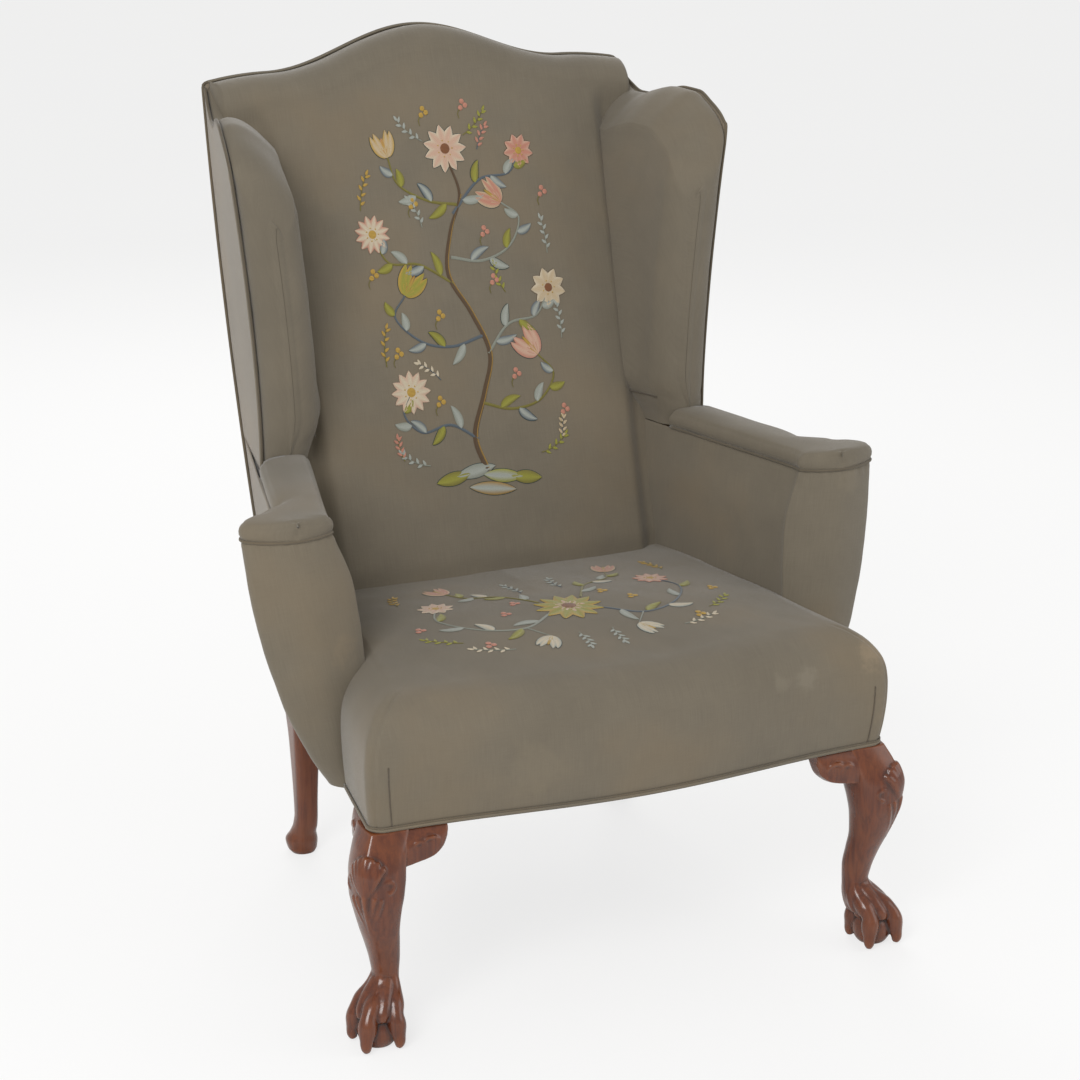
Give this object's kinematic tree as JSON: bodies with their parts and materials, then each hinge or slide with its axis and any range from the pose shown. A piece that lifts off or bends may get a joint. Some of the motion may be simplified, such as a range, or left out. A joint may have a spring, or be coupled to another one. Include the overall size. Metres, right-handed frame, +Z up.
{
  "type": "wingback armchair",
  "caption": "Upholstered wing chair with a camel crest, outward-rolling arms, a tight seat and cabriole front legs on ball-and-claw feet.",
  "frame": {"origin": "on the floor, under the middle of the chair's width and depth", "axes": "+X to the viewer's right as they face the chair, +Y from the front to the back, +Z up"},
  "size_m": [0.9016, 0.7843, 1.1612],
  "materials": {
    "upholstery_fabric": "plain-weave taupe cloth, matte",
    "outside_fabric": "plain-weave warm beige cloth, matte",
    "welting": "cloth-covered piping cord, matte",
    "stuffing": "curled hair, matte",
    "webbing": "woven jute, matte",
    "hessian": "open-weave jute, matte",
    "dust_cloth": "thin black cotton, matte",
    "tacks": "blued, dull",
    "polished_wood": "red-brown mahogany, waxed polish",
    "frame_wood": "bare sawn hardwood"
  },
  "bodies": {
    "root": {"back_hessian": "hessian", "back_seat_rail": "frame_wood", "back_stuffing": "stuffing", "back_webbing": "webbing", "back_welt": "welting", "corner_blocks": "frame_wood", "cover_tacks": "tacks", "crest_rail": "frame_wood", "dust_cover": "dust_cloth", "front_seat_rail": "frame_wood", "inside_back_cover": "upholstery_fabric", "left_arm_cover": "upholstery_fabric", "left_arm_post": "frame_wood", "left_arm_rail": "frame_wood", "left_arm_stuffing": "stuffing", "left_arm_top_pad": "upholstery_fabric", "left_arm_welt": "welting", "left_back_post": "frame_wood", "left_front_knee_bracket": "polished_wood", "left_front_leg": "polished_wood", "left_outside_arm_cover": "outside_fabric", "left_outside_wing_cover": "outside_fabric", "left_rear_leg": "polished_wood", "left_seat_rail": "frame_wood", "left_side_knee_bracket": "polished_wood", "left_wing_cover": "upholstery_fabric", "left_wing_post": "frame_wood", "left_wing_rail": "frame_wood", "left_wing_stuffing": "stuffing", "left_wing_welt": "welting", "outside_back_cover": "outside_fabric", "right_arm_cover": "upholstery_fabric", "right_arm_post": "frame_wood", "right_arm_rail": "frame_wood", "right_arm_stuffing": "stuffing", "right_arm_top_pad": "upholstery_fabric", "right_arm_welt": "welting", "right_back_post": "frame_wood", "right_front_knee_bracket": "polished_wood", "right_front_leg": "polished_wood", "right_outside_arm_cover": "outside_fabric", "right_outside_wing_cover": "outside_fabric", "right_rear_leg": "polished_wood", "right_seat_rail": "frame_wood", "right_side_knee_bracket": "polished_wood", "right_wing_cover": "upholstery_fabric", "right_wing_post": "frame_wood", "right_wing_rail": "frame_wood", "right_wing_stuffing": "stuffing", "right_wing_welt": "welting", "seat_cover": "upholstery_fabric", "seat_hessian": "hessian", "seat_stuffing": "stuffing", "seat_webbing": "webbing", "seat_welt": "welting", "stay_rail": "frame_wood"}
  },
  "joints": []
}
